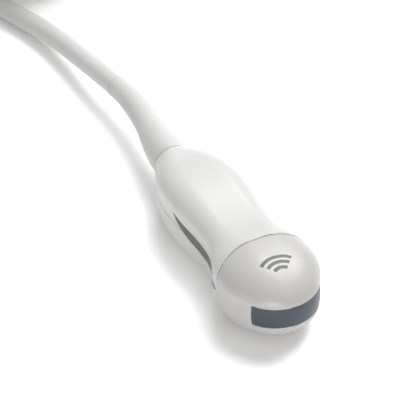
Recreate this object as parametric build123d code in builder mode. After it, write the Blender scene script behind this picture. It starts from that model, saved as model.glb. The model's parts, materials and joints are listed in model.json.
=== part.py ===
from build123d import *
from collections import namedtuple
from math import cos, pi, radians, sin, sqrt, tan
import os

# Curved-array ultrasound transducer probe with its cord and system plug, in millimetres.
# +X points out of the nose, +Z up. The probe lies on its underside at Z = 0, and X = 0 is
# half way from the nose tip to the rear end of its strain relief.
os.makedirs("parts", exist_ok=True)

# Driving sizes of the probe body
probe_length = 103.0
boot_length = 57.0
head_width = 38.4
head_height = 29.6
seam_distance = 30.2
seam_bow_radius = 44.0
crown_distance = 22.0
neck_distance = 48.0
neck_width = 27.6
neck_top = 12.3
neck_bottom = 13.6
grip_distance = 72.0
grip_width = 31.4
grip_top = 13.4
tail_radius = 7.6
head_crown_flat = 3.0
grip_side_flat = 6.0
grip_crown_flat = 6.0
tail_flat = 0.1
overrun = 1.0

# Walls and seams
nose_wall = 2.9
handle_wall = 1.8
rear_wall = 6.0
seam_gap = 0.4
gasket_recess = 0.3
spigot_length = 1.8
spigot_root = 1.0
fit_clearance = 0.05

# Lens window and the layers behind it, all on one vertical centre of curvature
lens_radius = 16.4
lens_half_angle = 59.0
lens_half_height = 4.3
lens_thickness = 1.0
lens_bulge = 0.3
lens_edge_recess = 0.15
window_corner = 1.0
matching_thickness = 0.35
matching_half_angle = 57.5
stack_half_height = 3.8
piezo_thickness = 0.5
element_count = 32
kerf_width = 0.12
kerf_depth_share = 0.8
backing_inner_radius = 5.0

# Carrier of the array
carrier_plate_distance = 24.0
carrier_plate_thickness = 2.5
carrier_tongue_width = 12.0
carrier_gap = 0.1

# Film circuits
film_thickness = 0.2
film_tail_width = 18.0
film_neck_distance = 22.5
film_end_distance = 52.0
film_turn_radius = 12.0
film_slot_clearance = 0.3

# Chassis, boards and what is soldered on them
board_margin = 0.7
chassis_thickness = 3.0
chassis_front = 39.0
chassis_rear = 81.0
chassis_lap = 5.0
chassis_window_length = 12.0
chassis_window_width = 11.0
chassis_window_corner = 1.5
chassis_window_pitch = 17.0
standoff_height = 1.1
standoff_radius = 1.6
board_front = 46.0
board_length = 33.0
board_width = 19.6
board_thickness = 1.2
board_corner = 1.0
board_screw_inset = 1.7
board_screw_setback = 9.5
film_clamp_length = 4.5
film_clamp_inset = 0.3
film_clamp_height = 2.0
film_clamp_setback = 1.0
header_length = 4.0
header_width = 13.0
header_height = 2.2
header_distances = (62.0, 73.5)
header_edge = 0.4
wire_radius = 0.6
wire_spacing = 4.0
wire_drop = 4.0
wire_landing = 1.2
wire_bend = 1.4
wire_gather_share = 0.42
screw_radius = 0.8
screw_head_radius = 1.4
screw_head_height = 0.8
screw_socket_depth = 0.4
shield_length = 36.0
shield_half_height = 8.2
shield_thickness = 0.2
shield_corner = 2.0

# Bulkheads moulded in the handle
bulkhead_thickness = 1.6
front_bulkhead = 42.0
bulkhead_opening_width = 19.0
bulkhead_opening_height = 13.0
ferrule_bulkhead_front = 85.6
bulkhead_seat = 0.2

# Cable anchor and strain relief
cord_diameter = 8.8
ferrule_wall = 1.5
ferrule_front = 84.6
ferrule_length = 9.0
flange_radius = 7.4
flange_thickness = 1.6
boot_flange_thickness = 1.4
boot_flange_radius = 7.0
boot_neck_radius = 5.65
boot_tip_wall = 0.3
boot_drift = 2.8
boot_sag = 1.7
core_front = 84.0

# Side inlays
inlay_front = 26.9
inlay_length = 43.6
inlay_height = 4.3
inlay_depth = 0.9
inlay_recess = 0.1

# Hank of the cord that is put away, and the height of the plug's cable entry above it
hank_fold_radius = 30.8
hank_run = 56.0
hank_columns = 2
hank_layers = 3
hank_corner = 4.0
hank_heading = 210.0
tie_width = 18.0
tie_thickness = 1.2

# System plug, which lies on the hank; its heights are counted from its own mating rim
plug_length = 80.0
plug_width = 56.0
plug_base = 5.0
plug_top = 38.0
plug_wall = 2.4
plug_corner = 11.0
plug_top_round = 5.0
plug_bottom_round = 1.5
entry_height = 22.0
plug_entry_offset = 9.5
plug_boot_length = 26.0
plug_boot_radius = 7.4
plug_boot_rings = 4
plug_boot_ring_width = 1.6
plug_boot_ring_depth = 0.7
grip_groove_count = 5
grip_groove_pitch = 7.0
grip_groove_width = 3.0
grip_groove_depth = 0.8
shroud_length = 60.0
shroud_width = 40.0
shroud_wall = 1.2
shroud_corner = 4.0
shroud_height = 9.0
shroud_flange = 1.8
shroud_flange_thickness = 1.4
block_base = 2.5
block_top = 12.0
contact_columns = 16
contact_rows = 3
contact_pitch = 3.2
contact_size = 1.4
contact_height = 0.5
contact_row_centre = 13.6
plug_board_length = 60.0
plug_board_width = 40.0
plug_board_thickness = 1.6
plug_board_corner = 2.0
plug_header_length = 24.0
plug_header_width = 5.0
plug_header_height = 4.0
plug_header_offset = 14.0
clamp_setback = 12.0
clamp_length = 6.0
clamp_width = 15.0
clamp_rise = 6.0
clamp_round = 2.0
plug_core_landing = 3.0
plug_wire_lead = 3.0
plug_wire_landing = 3.0
plug_wire_spacing = 1.6
plug_wire_radius = 0.5
plug_wire_bend = 1.2
plug_screw_radius = 1.25
plug_screw_head_radius = 2.1
plug_screw_head_height = 1.8
plug_screw_length = 26.0
plug_screw_offset_x = 34.0
plug_screw_offset_y = 20.0
plug_boss_radius = 2.9

# Lock of the plug: a lever turns a shaft with a cross head
lock_recess_radius = 15.0
lock_recess_depth = 1.0
lock_shaft_radius = 5.0
lock_running_clearance = 0.05
lock_gap = 0.3
bush_wall = 2.0
bush_length = 5.0
bush_flange_radius = 9.5
bush_flange_thickness = 0.8
shaft_base = 3.2
shaft_block_clearance = 0.6
shaft_in_lever = 8.0
cross_head_length = 16.0
cross_head_width = 5.0
cross_head_height = 3.0
cross_pocket_clearance = 0.6
clip_thickness = 0.8
clip_width = 3.0
clip_groove_depth = 0.4
lever_hub_radius = 12.0
lever_height = 12.0
lever_length = 46.0
lever_width = 12.0
lever_edge = 2.5
lever_hub_height = 5.0
lever_hub_edge = 1.2

# Worked-out places
nose_x = (probe_length + boot_length) / 2
axis_z = head_height / 2
cord_radius = cord_diameter / 2
bore_radius = cord_radius + fit_clearance
array_x = nose_x - lens_radius
array_axis = Axis((array_x, 0, 0), (0, 0, 1))
lens_back_radius = lens_radius - lens_thickness
piezo_front_radius = lens_back_radius - 2 * matching_thickness
backing_front_radius = piezo_front_radius - piezo_thickness
parting_plane = Plane.XY.offset(axis_z)
chassis_width = board_width + 2 * board_margin
film_clamp_width = board_width - 2 * film_clamp_inset


def at(distance):
    """X of a point that lies this far behind the nose tip."""
    return nose_x - distance


def finish(piece, name):
    """Label a finished piece and write it to its own STEP file."""
    piece.part.label = name
    export_step(piece.part, f"parts/{name}.step")


# The body's outside: key sections across X, blended from one to the next
Section = namedtuple("Section", "distance half_width top bottom side_flat crown_flat")

nose_angle_shares = (0.12, 0.3, 0.5, 0.7, 0.86, 1.0)
nose_flat_share = 0.15
shoulder_shares = ((0.22, 0.37), (0.5, 0.73), (0.75, 0.93))
flare_shares = ((0.13, 0.01), (0.25, 0.055), (0.35, 0.16), (0.46, 0.38), (0.6, 0.69), (0.78, 0.93))
grip_shares = ((0.25, 0.12), (0.5, 0.5), (0.75, 0.88))
tail_shares = ((0.32, 0.07), (0.58, 0.29), (0.77, 0.58), (0.91, 0.85))


def crown_height(distance, inset):
    """Half height of the dome, an ellipse from the window's edge up to the crown."""
    reach = crown_distance - inset
    rise = sqrt(1 - ((crown_distance - distance) / reach) ** 2)
    return lens_half_height + (head_height / 2 - inset - lens_half_height) * rise


def nose_sections(inset):
    """Sections of the nose, which is the lens's circle in plan."""
    radius = lens_radius - inset
    sections = []
    for share in nose_angle_shares:
        angle = radians(lens_half_angle * share)
        distance = lens_radius - radius * cos(angle)
        half_width = radius * sin(angle)
        height = crown_height(distance, inset)
        flat = half_width * nose_flat_share
        sections.append(Section(distance, half_width, height, height, lens_half_height, flat))
    return sections


def between(first, last, along_share, form_share):
    """A section part of the way from one key section to the next."""
    form = [a + (b - a) * form_share for a, b in zip(first[1:], last[1:])]
    return Section(first.distance + (last.distance - first.distance) * along_share, *form)


def body_sections(inset):
    """All sections of the body, drawn in by an inset."""
    nose = nose_sections(inset)
    head_half = head_height / 2
    crown = Section(crown_distance, head_width / 2, head_half, head_half, lens_half_height, head_crown_flat)
    neck = Section(neck_distance, neck_width / 2, neck_top, neck_bottom, grip_side_flat, grip_crown_flat)
    grip = Section(grip_distance, grip_width / 2, grip_top, head_half, grip_side_flat, grip_crown_flat)
    tail = Section(probe_length, tail_radius, tail_radius, tail_radius, tail_flat, tail_flat)
    inner = [s._replace(half_width=s.half_width - inset, top=s.top - inset, bottom=s.bottom - inset)
             for s in (crown, neck, grip, tail)]
    crown, neck, grip, tail = inner
    sections = nose
    for along, form in shoulder_shares:
        section = between(nose[-1], crown, along, form)
        height = crown_height(section.distance, inset)
        sections = sections + [section._replace(top=height, bottom=height)]
    sections = sections + [crown] + [between(crown, neck, *shares) for shares in flare_shares]
    sections = sections + [neck] + [between(neck, grip, *shares) for shares in grip_shares]
    return sections + [grip] + [between(grip, tail, *shares) for shares in tail_shares] + [tail]


def body_loft(inset):
    """The body as one solid through its sections."""
    with BuildPart() as body:
        for s in body_sections(inset):
            side, crown = s.side_flat, s.crown_flat
            across, rise, fall = s.half_width - crown, s.top - side, s.bottom - side
            with BuildSketch(Plane((at(s.distance), 0, axis_z), x_dir=(0, 1, 0), z_dir=(1, 0, 0))):
                with BuildLine():
                    Line((s.half_width, -side), (s.half_width, side))
                    EllipticalCenterArc((crown, side), across, rise, 0, arc_size=90)
                    Line((crown, s.top), (-crown, s.top))
                    EllipticalCenterArc((-crown, side), across, rise, 90, arc_size=90)
                    Line((-s.half_width, side), (-s.half_width, -side))
                    EllipticalCenterArc((-crown, -side), across, fall, 180, arc_size=90)
                    Line((-crown, -s.bottom), (crown, -s.bottom))
                    EllipticalCenterArc((crown, -side), across, fall, 270, arc_size=90)
                make_face()
        loft()
    return body.part


def slice_of(solid, front, rear):
    """The stretch of a solid between two distances behind the nose tip."""
    with BuildPart() as piece:
        add(solid)
        split(bisect_by=Plane.YZ.offset(at(rear)), keep=Keep.TOP)
        split(bisect_by=Plane.YZ.offset(at(front)), keep=Keep.BOTTOM)
    return piece.part


def bow(distance):
    """Upright cylinder about the nose whose rear is the seam's bowed surface, this far behind the tip in the middle."""
    with BuildPart() as drum:
        with Locations((at(distance) + seam_bow_radius, 0, axis_z)):
            Cylinder(radius=seam_bow_radius, height=2 * head_width)
    return drum.part


def radial_plane(angle):
    """Upright plane through the array's axis, its X pointing outwards at an angle."""
    outwards = Vector(cos(radians(angle)), sin(radians(angle)), 0)
    return Plane((array_x, 0, axis_z), x_dir=outwards, z_dir=outwards.cross(Vector(0, 0, 1)))


outer_body = body_loft(0)
gasket_body = body_loft(gasket_recess)
inlay_face_body = body_loft(inlay_recess)
inlay_back_body = body_loft(inlay_depth)
handle_cavity = body_loft(handle_wall)
spigot_body = body_loft(handle_wall + fit_clearance)
nose_cavity = body_loft(nose_wall)
seam_front = seam_distance - seam_gap / 2
seam_rear = seam_distance + seam_gap / 2
spigot_rear = seam_rear + spigot_length
seam_reach = seam_front - head_width / 4


def sector_layer(inner_radius, outer_radius, half_height, half_angle):
    """A curved layer of the array: a rectangle turned about the array's axis."""
    with BuildPart() as layer:
        with BuildSketch(radial_plane(-half_angle)):
            with Locations(((inner_radius + outer_radius) / 2, 0)):
                Rectangle(outer_radius - inner_radius, 2 * half_height)
        revolve(axis=array_axis, revolution_arc=2 * half_angle)
    return layer.part


# Acoustic lens, bulging a little between its edges
with BuildPart() as acoustic_lens:
    edge_radius = lens_radius - lens_edge_recess
    with BuildSketch(radial_plane(-lens_half_angle)):
        with BuildLine():
            Polyline((edge_radius, -lens_half_height), (lens_back_radius, -lens_half_height),
                     (lens_back_radius, lens_half_height), (edge_radius, lens_half_height))
            ThreePointArc((edge_radius, lens_half_height), (edge_radius + lens_bulge, 0),
                          (edge_radius, -lens_half_height))
        make_face()
    revolve(axis=array_axis, revolution_arc=2 * lens_half_angle)
    end_corners = [edge for edge in acoustic_lens.edges().filter_by(GeomType.LINE)
                   if abs(abs(edge.center().Z - axis_z) - lens_half_height) < fit_clearance
                   and edge.length < lens_thickness + lens_bulge]
    fillet(end_corners, window_corner)
finish(acoustic_lens, "acoustic_lens")

# Window that the array looks through
window = sector_layer(backing_inner_radius, lens_radius + overrun, lens_half_height, lens_half_angle)

# Nosepiece with the window and the spigot that goes into the handle
with BuildPart() as nosepiece:
    add(slice_of(outer_body, -overrun, seam_front) & bow(seam_front))
    add(slice_of(spigot_body, seam_reach, spigot_rear) - bow(seam_front - spigot_root))
    add(slice_of(nose_cavity, 0, spigot_rear + overrun), mode=Mode.SUBTRACT)
    add(window, mode=Mode.SUBTRACT)
finish(nosepiece, "nosepiece")

# Seam gasket, set back a little from the skin
with BuildPart() as seam_gasket:
    add(slice_of(gasket_body, seam_reach, seam_rear) & bow(seam_rear))
    add(bow(seam_front), mode=Mode.SUBTRACT)
    add(slice_of(spigot_body, seam_reach - overrun, seam_rear + overrun), mode=Mode.SUBTRACT)
finish(seam_gasket, "seam_gasket")

# Matching layers, array, and the block behind it
with BuildPart() as matching_layer_outer:
    add(sector_layer(lens_back_radius - matching_thickness, lens_back_radius, stack_half_height,
                     matching_half_angle))
finish(matching_layer_outer, "matching_layer_outer")

with BuildPart() as matching_layer_inner:
    add(sector_layer(piezo_front_radius, piezo_front_radius + matching_thickness, stack_half_height,
                     matching_half_angle))
finish(matching_layer_inner, "matching_layer_inner")

with BuildPart() as piezo_array:
    add(sector_layer(backing_front_radius, piezo_front_radius, stack_half_height, matching_half_angle))
    element_angle = 2 * matching_half_angle / element_count
    kerf_depth = piezo_thickness * kerf_depth_share
    first_kerf = element_angle - matching_half_angle
    with Locations((array_x, 0, axis_z)):
        with PolarLocations(piezo_front_radius, element_count - 1, start_angle=first_kerf,
                            angular_range=2 * matching_half_angle - 2 * element_angle, endpoint=True):
            Box(2 * kerf_depth, kerf_width, 3 * stack_half_height, mode=Mode.SUBTRACT)
finish(piezo_array, "piezo_array")

with BuildPart() as backing_block:
    add(sector_layer(backing_inner_radius, backing_front_radius, stack_half_height, matching_half_angle))
finish(backing_block, "backing_block")

# Carrier: a hub in the backing, a plate that fills the nosepiece and a tongue to the chassis
carrier_body = body_loft(nose_wall + carrier_gap)
lap_rear = chassis_front + chassis_lap
with BuildPart() as array_carrier:
    add(slice_of(carrier_body, carrier_plate_distance, carrier_plate_distance + carrier_plate_thickness))
    with BuildSketch(parting_plane):
        with Locations((array_x, 0)):
            Circle(backing_inner_radius)
        with Locations(((array_x + at(lap_rear)) / 2, 0)):
            Rectangle(lap_rear - lens_radius, carrier_tongue_width)
    extrude(amount=chassis_thickness / 2, both=True)
    with BuildSketch(parting_plane):
        with Locations((array_x, 0)):
            Circle(backing_inner_radius)
    extrude(amount=stack_half_height, both=True)
    with BuildSketch(parting_plane):
        with Locations((at((chassis_front + lap_rear) / 2), 0)):
            Rectangle(chassis_lap, carrier_tongue_width)
    extrude(amount=chassis_thickness, mode=Mode.SUBTRACT)
    for side in (1, -1):
        with Locations((at(carrier_plate_distance + carrier_plate_thickness / 2), 0,
                        axis_z + side * (stack_half_height + film_thickness / 2))):
            Box(2 * carrier_plate_thickness, film_tail_width + 2 * film_slot_clearance,
                film_thickness + 2 * film_slot_clearance, mode=Mode.SUBTRACT)
finish(array_carrier, "array_carrier")

# Film circuits: a fan on the array, drawn in to a tail that reaches the boards
fan_cos = cos(radians(matching_half_angle))
fan_sin = sin(radians(matching_half_angle))
arc_end_x = array_x + piezo_front_radius * fan_cos
arc_end_y = piezo_front_radius * fan_sin
fan_side = [
    (arc_end_x, arc_end_y),
    (array_x + film_turn_radius * fan_cos, film_turn_radius * fan_sin),
    (at(film_neck_distance), film_tail_width / 2),
    (at(film_end_distance), film_tail_width / 2),
]
fan_other_side = [(x, -y) for x, y in reversed(fan_side)]
for name, side in (("film_circuit_upper", 1), ("film_circuit_lower", -1)):
    with BuildPart() as film_circuit:
        film_base = axis_z + side * (stack_half_height + film_thickness / 2) - film_thickness / 2
        with BuildSketch(Plane.XY.offset(film_base)):
            with BuildLine():
                Polyline(*fan_side, *fan_other_side)
                ThreePointArc(fan_other_side[-1], (array_x + piezo_front_radius, 0), fan_side[0])
            make_face()
        extrude(amount=film_thickness)
    finish(film_circuit, name)

# Chassis: a tray between the boards, with lightening windows and standoffs
board_z = chassis_thickness / 2 + standoff_height
board_rear = board_front + board_length
board_middle = at(board_front + board_length / 2)
screw_pitch_x = board_length - board_screw_setback - board_screw_inset
screw_pitch_y = board_width - 2 * board_screw_inset
screw_middle = at(board_rear - board_screw_inset - screw_pitch_x / 2)
with BuildPart() as board_chassis:
    with BuildSketch(parting_plane):
        with Locations((at((chassis_front + chassis_rear) / 2), 0)):
            Rectangle(chassis_rear - chassis_front, chassis_width)
        with Locations((board_middle, 0)):
            with GridLocations(chassis_window_pitch, 0, 2, 1):
                RectangleRounded(chassis_window_length, chassis_window_width, chassis_window_corner,
                                 mode=Mode.SUBTRACT)
    extrude(amount=chassis_thickness / 2, both=True)
    with BuildSketch(parting_plane):
        with Locations((at((chassis_front + lap_rear) / 2), 0)):
            Rectangle(chassis_lap, chassis_width)
    extrude(amount=-chassis_thickness, mode=Mode.SUBTRACT)
    with BuildSketch(parting_plane):
        with Locations((screw_middle, 0)):
            with GridLocations(screw_pitch_x, screw_pitch_y, 2, 2):
                Circle(standoff_radius)
    extrude(amount=board_z, both=True)
    with BuildSketch(parting_plane):
        with Locations((screw_middle, 0)):
            with GridLocations(screw_pitch_x, screw_pitch_y, 2, 2):
                Circle(screw_radius)
    extrude(amount=board_z, both=True, mode=Mode.SUBTRACT)
finish(board_chassis, "board_chassis")

# Boards, one on each face of the chassis
for name, side in (("board_upper", 1), ("board_lower", -1)):
    with BuildPart() as board:
        with BuildSketch(Plane.XY.offset(axis_z + side * board_z)):
            with Locations((board_middle, 0)):
                RectangleRounded(board_length, board_width, board_corner)
            with Locations((screw_middle, 0)):
                with GridLocations(screw_pitch_x, screw_pitch_y, 2, 2):
                    Circle(screw_radius, mode=Mode.SUBTRACT)
        extrude(amount=side * board_thickness)
    finish(board, name)

# Clamps that press the films on the boards
board_skin = board_z + board_thickness
film_skin = stack_half_height + film_thickness
with BuildPart() as film_clamps:
    for side in (1, -1):
        with BuildSketch(Plane.XY.offset(axis_z + side * film_skin)):
            with Locations((at(board_front + film_clamp_setback + film_clamp_length / 2), 0)):
                RectangleRounded(film_clamp_length, film_clamp_width, header_edge)
        extrude(amount=side * film_clamp_height)
finish(film_clamps, "film_clamps")

# Headers of the coaxial wires
with BuildPart() as coax_headers:
    for side in (1, -1):
        with BuildSketch(Plane.XY.offset(axis_z + side * board_skin)):
            for distance in header_distances:
                with Locations((at(distance), 0)):
                    RectangleRounded(header_length, header_width, header_edge)
        extrude(amount=side * header_height)
finish(coax_headers, "coax_headers")

# Coaxial wires from the rear headers to the end of the cable
with BuildPart() as coax_wires:
    wire_start = at(header_distances[-1] + header_length / 2)
    wire_z = board_skin + header_height / 2
    for side in (1, -1):
        for column in (-1, 0, 1):
            start = Vector(wire_start, column * wire_spacing, axis_z + side * wire_z)
            bend = start - Vector(wire_drop, 0, 0)
            end = Vector(at(core_front), column * wire_spacing * wire_gather_share,
                         axis_z + side * wire_z * wire_gather_share)
            gather = end + Vector(wire_landing, 0, 0)
            with BuildLine():
                path = FilletPolyline(start, bend, gather, end, radius=wire_bend)
            with BuildSketch(Plane(start, z_dir=(-1, 0, 0))):
                Circle(wire_radius)
            sweep(path=path)
finish(coax_wires, "coax_wires")

# Screws of the boards, two to each standoff
with BuildPart() as board_screws:
    for side in (1, -1):
        with BuildSketch(Plane.XY.offset(axis_z + side * board_skin)):
            with Locations((screw_middle, 0)):
                with GridLocations(screw_pitch_x, screw_pitch_y, 2, 2):
                    Circle(screw_head_radius)
        extrude(amount=side * screw_head_height)
        with BuildSketch(Plane.XY.offset(axis_z + side * (board_skin + screw_head_height))):
            with Locations((screw_middle, 0)):
                with GridLocations(screw_pitch_x, screw_pitch_y, 2, 2):
                    RegularPolygon(screw_radius, 6)
        extrude(amount=-side * screw_socket_depth, mode=Mode.SUBTRACT)
        with BuildSketch(Plane.XY.offset(axis_z + side * board_skin)):
            with Locations((screw_middle, 0)):
                with GridLocations(screw_pitch_x, screw_pitch_y, 2, 2):
                    Circle(screw_radius)
        extrude(amount=-side * (board_skin - screw_socket_depth))
finish(board_screws, "board_screws")

# Copper shield, a sleeve that rests on the chassis's edges
with BuildPart() as shield_sleeve:
    with BuildSketch(Plane((at(board_front), 0, axis_z), x_dir=(0, 1, 0), z_dir=(-1, 0, 0))):
        RectangleRounded(chassis_width + 2 * shield_thickness, 2 * (shield_half_height + shield_thickness),
                         shield_corner + shield_thickness)
        RectangleRounded(chassis_width, 2 * shield_half_height, shield_corner, mode=Mode.SUBTRACT)
    extrude(amount=shield_length)
finish(shield_sleeve, "shield_sleeve")

# Ferrule crimped on the cable; its flange sits between two bulkheads
ferrule_radius = bore_radius + ferrule_wall
flange_front = ferrule_bulkhead_front + bulkhead_thickness
ferrule_plane = Plane((at(ferrule_front), 0, axis_z), x_dir=(0, 1, 0), z_dir=(-1, 0, 0))
with BuildPart() as cable_ferrule:
    with BuildSketch(ferrule_plane):
        Circle(ferrule_radius)
    extrude(amount=ferrule_length)
    with BuildSketch(ferrule_plane.offset(flange_front - ferrule_front)):
        Circle(flange_radius)
    extrude(amount=flange_thickness)
    with BuildSketch(ferrule_plane):
        Circle(bore_radius)
    extrude(amount=ferrule_length, mode=Mode.SUBTRACT)
    chamfer(cable_ferrule.edges().filter_by(GeomType.CIRCLE).group_by(Axis.X)[0].sort_by(SortBy.RADIUS)[-1],
            length=ferrule_wall / 3)
finish(cable_ferrule, "cable_ferrule")

# Strain relief: a boot lofted through circles along a bent spine
boot_x = at(probe_length)
boot_spine_shares = ((0.3, 0.0, 0.0), (0.65, 1.75, 0.0), (1.0, 1.0, 1.0))
boot_radius_shares = ((0.0, 1.0), (0.1, 0.97), (0.24, 0.74), (0.4, 0.36), (0.6, 0.12), (0.8, 0.03),
                      (1.0, 0.0))
boot_spine = Bezier((boot_x, 0, axis_z), *[
    (boot_x - along * boot_length, drift * boot_drift, axis_z - sag * boot_sag)
    for along, drift, sag in boot_spine_shares])
boot_tip_radius = bore_radius + boot_tip_wall


def spine_loft(radii):
    """A round solid along the boot's spine, from pairs of place and radius."""
    with BuildPart() as solid:
        for place, radius in radii:
            with BuildSketch(Plane(boot_spine @ place, x_dir=(0, 0, 1), z_dir=boot_spine % place)):
                Circle(radius)
        loft()
    return solid.part


boot_radii = [(place, boot_tip_radius + share * (tail_radius - boot_tip_radius))
              for place, share in boot_radius_shares]
boot_bore = spine_loft([(place, bore_radius) for place, share in boot_radius_shares])
boot_front = probe_length - rear_wall - boot_flange_thickness
boot_plane = Plane((at(boot_front), 0, axis_z), x_dir=(0, 1, 0), z_dir=(-1, 0, 0))
with BuildPart() as strain_relief:
    add(spine_loft(boot_radii))
    with BuildSketch(boot_plane):
        Circle(boot_neck_radius)
    extrude(amount=rear_wall + boot_flange_thickness)
    with BuildSketch(boot_plane):
        Circle(boot_flange_radius)
    extrude(amount=boot_flange_thickness)
    add(boot_bore, mode=Mode.SUBTRACT)
    with BuildSketch(boot_plane):
        Circle(bore_radius)
    extrude(amount=rear_wall + boot_flange_thickness, mode=Mode.SUBTRACT)
finish(strain_relief, "strain_relief")

# End of the cord inside the boot and the ferrule
with BuildPart() as cable_core:
    add(spine_loft([(place, cord_radius) for place, share in boot_radius_shares]))
    with BuildSketch(Plane((at(core_front), 0, axis_z), x_dir=(0, 1, 0), z_dir=(-1, 0, 0))):
        Circle(cord_radius)
    extrude(amount=probe_length - core_front)
finish(cable_core, "cable_core")

# Side inlays: a blade-shaped strip let into each side of the handle
inlay_upper_shares = ((0.0, 0.06), (0.22, 0.38), (0.45, 0.53), (1.0, 1.14))
inlay_lower_shares = ((1.0, 1.14), (0.82, -0.08), (0.57, -0.52), (0.22, -0.42), (0.0, -0.12))


def inlay_block(side):
    """The strip's outline seen from the side, pushed outwards from the middle."""
    with BuildPart() as block:
        with BuildSketch(Plane((at(inlay_front), 0, axis_z), x_dir=(-1, 0, 0), z_dir=(0, 1, 0))):
            upper = [(along * inlay_length, rise * inlay_height) for along, rise in inlay_upper_shares]
            lower = [(along * inlay_length, rise * inlay_height) for along, rise in inlay_lower_shares]
            with BuildLine():
                Spline(*upper)
                Spline(*lower)
                Line(lower[-1], upper[0])
            make_face()
        extrude(amount=side * head_width)
    return block.part


def inlay_solid(side, face_body):
    """The strip between its back and a face that follows the handle's skin."""
    with BuildPart() as strip:
        add(face_body)
        add(inlay_back_body, mode=Mode.SUBTRACT)
        add(inlay_block(side), mode=Mode.INTERSECT)
    return strip.part


for name, side in (("side_inlay_left", 1), ("side_inlay_right", -1)):
    with BuildPart() as side_inlay:
        add(inlay_solid(side, inlay_face_body))
    finish(side_inlay, name)

# Bulkheads of the handle, each fused into the shells' inner face
rib_body = body_loft(handle_wall - bulkhead_seat)


def bulkhead(front):
    """A plate across the handle's inside, this far behind the nose tip."""
    return slice_of(rib_body, front, front + bulkhead_thickness)


# Both halves of the handle in one piece, before they are parted
with BuildPart() as handle:
    add(slice_of(outer_body, seam_reach, probe_length) - bow(seam_rear))
    add(slice_of(handle_cavity, seam_reach - overrun, probe_length - rear_wall), mode=Mode.SUBTRACT)
    add(bulkhead(front_bulkhead))
    with Locations((at(front_bulkhead + bulkhead_thickness / 2), 0, axis_z)):
        Box(2 * bulkhead_thickness, bulkhead_opening_width, bulkhead_opening_height, mode=Mode.SUBTRACT)
        Box(2 * bulkhead_thickness, chassis_width, chassis_thickness, mode=Mode.SUBTRACT)
    add(bulkhead(ferrule_bulkhead_front))
    add(bulkhead(flange_front + flange_thickness))
    with BuildSketch(ferrule_plane.offset(-overrun)):
        Circle(ferrule_radius)
    extrude(amount=ferrule_length, mode=Mode.SUBTRACT)
    with BuildSketch(boot_plane):
        Circle(boot_neck_radius)
    extrude(amount=2 * rear_wall, mode=Mode.SUBTRACT)
    for side in (1, -1):
        add(inlay_solid(side, outer_body), mode=Mode.SUBTRACT)

with BuildPart() as handle_upper:
    add(handle.part)
    split(bisect_by=parting_plane, keep=Keep.TOP)
finish(handle_upper, "handle_upper")

with BuildPart() as handle_lower:
    add(handle.part)
    split(bisect_by=parting_plane, keep=Keep.BOTTOM)
finish(handle_lower, "handle_lower")

# Cord: the free stretch, from the strain relief's tip down to the floor and on to the hank.
# Its points are chosen by hand; each corner's arc is as large as its two runs allow.
cord_route = [
    (-80.0, 2.8, 13.1),
    (-104.0, 0.274, 11.055),
    (-134.0, -2.0, 6.6),
    (-163.0, -10.4, 4.4),
    (-188.0, -19.5, 4.4),
    (-208.3, -31.2, 4.4),
]
fillet_share = 0.45


def route_radii(points):
    """The radius of each corner's arc: a share of the shorter run over the tangent of half the turn."""
    radii = []
    for before, corner, after in zip(points, points[1:], points[2:]):
        run_in = Vector(corner) - Vector(before)
        run_out = Vector(after) - Vector(corner)
        half_turn = radians(run_in.get_angle(run_out)) / 2
        radii.append(fillet_share * min(run_in.length, run_out.length) / tan(half_turn))
    return radii


cord_radii = route_radii(cord_route)
print("cord radii", [round(radius, 1) for radius in cord_radii])
with BuildPart() as cord:
    with BuildLine():
        cord_path = FilletPolyline(*cord_route, radius=cord_radii)
    start_direction = Vector(cord_route[1]) - Vector(cord_route[0])
    with BuildSketch(Plane(cord_route[0], z_dir=start_direction)):
        Circle(cord_radius)
    sweep()
section_area = pi * cord_radius ** 2
print("cord length", round(cord_path.length, 2), "volume over section times length",
      round(cord.part.volume / (section_area * cord_path.length), 5))
finish(cord, "cord")

# Hank: the outer shape of its turns, joined by the free stretch at its outer bottom turn
hank_outer_turn = hank_fold_radius + cord_diameter * (hank_columns - 1) / 2
hank_inner_turn = hank_fold_radius - cord_diameter * (hank_columns - 1) / 2
hank_height = hank_layers * cord_diameter
hank_entry = radians(hank_heading + 90)
hank_near_x = cord_route[-1][0] - hank_outer_turn * cos(hank_entry)
hank_y = cord_route[-1][1] - hank_outer_turn * sin(hank_entry)
with BuildPart() as cord_hank:
    with BuildSketch(Plane((hank_near_x - hank_run / 2, hank_y, 0))):
        SlotCenterToCenter(hank_run, 2 * (hank_outer_turn + cord_radius))
        SlotCenterToCenter(hank_run, 2 * (hank_inner_turn - cord_radius), mode=Mode.SUBTRACT)
    extrude(amount=hank_height)
    flat_faces = cord_hank.faces().filter_by(Axis.Z)
    fillet(flat_faces.edges(), hank_corner)
    tie_plane = Plane((hank_near_x - (hank_run - tie_width) / 2, hank_y - hank_fold_radius, hank_height / 2),
                      x_dir=(0, 1, 0), z_dir=(-1, 0, 0))
    hank_width = hank_columns * cord_diameter
    with BuildSketch(tie_plane):
        RectangleRounded(hank_width, hank_height, hank_corner)
        RectangleRounded(hank_width - 2 * tie_thickness, hank_height - 2 * tie_thickness,
                         hank_corner - tie_thickness, mode=Mode.SUBTRACT)
    extrude(amount=tie_width, mode=Mode.SUBTRACT)
finish(cord_hank, "cord_hank")

# Tie: a strap sunk flush round the turns of one run
with BuildPart() as cord_tie:
    with BuildSketch(tie_plane):
        RectangleRounded(hank_width, hank_height, hank_corner)
        RectangleRounded(hank_width - 2 * tie_thickness, hank_height - 2 * tie_thickness,
                         hank_corner - tie_thickness, mode=Mode.SUBTRACT)
    extrude(amount=tie_width)
finish(cord_tie, "cord_tie")

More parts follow.
